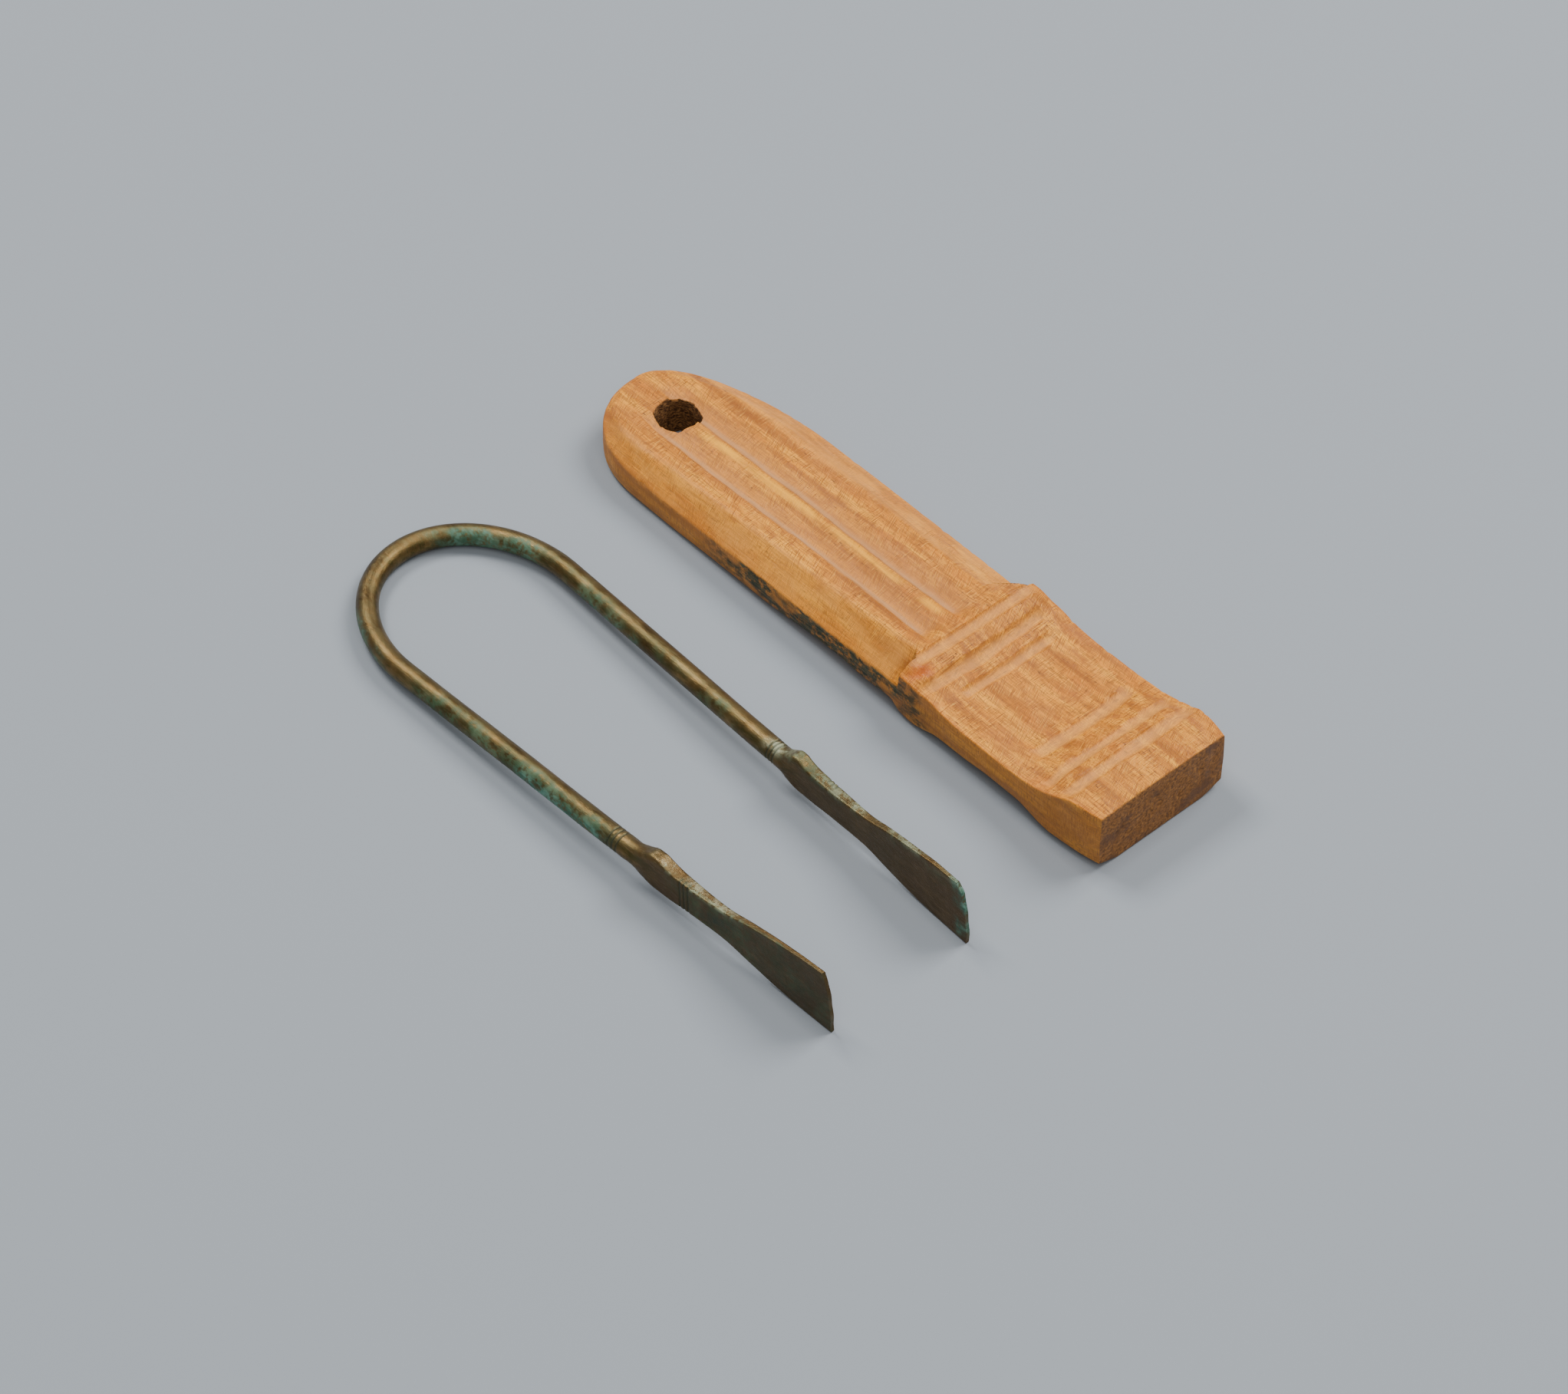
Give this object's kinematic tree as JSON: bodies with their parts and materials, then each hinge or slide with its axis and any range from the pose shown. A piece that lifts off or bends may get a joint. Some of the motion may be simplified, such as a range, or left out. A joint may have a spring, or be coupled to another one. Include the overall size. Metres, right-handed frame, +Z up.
{
  "type": "spring tweezers with holder",
  "caption": "Bronze spring tweezers, one bent wire with flared vertical blades, beside the carved wooden holder that they clip around.",
  "frame": {"origin": "middle of the set's footprint, on the surface it lies on", "axes": "+X along both pieces towards the tweezers' tips and the holder's square end, +Y across from the tweezers to the holder, +Z up"},
  "size_m": [0.0943, 0.064, 0.0092],
  "materials": {
    "carved_wood": "satin, tooled",
    "patinated_bronze": "satin with green patina"
  },
  "bodies": {
    "holder": {"wooden_holder": "carved_wood"},
    "bow": {"bow": "patinated_bronze"},
    "left_arm": {"left_arm": "patinated_bronze"},
    "right_arm": {"right_arm": "patinated_bronze"}
  },
  "joints": [
    {"name": "tweezers_lift", "type": "slide", "parent": "holder", "child": "bow", "axis": [0, 0, 1], "range_m": [0, 0.03]},
    {"name": "left_squeeze", "type": "hinge", "parent": "bow", "child": "left_arm", "pos_m": [-0.04101, -0.02685, 0.0016], "axis": [-0.0352, 0, 0.9994], "range_deg": [-1.5, 6.5], "stiffness_Nm_per_rad": 8},
    {"name": "right_squeeze", "type": "hinge", "parent": "bow", "child": "right_arm", "pos_m": [-0.04101, -0.00889, 0.0016], "axis": [-0.0352, 0, 0.9994], "range_deg": [-6.5, 1.5], "stiffness_Nm_per_rad": 8}
  ],
  "couplings": [
    {"joint": "right_squeeze", "follows": "left_squeeze", "ratio": -1}
  ]
}
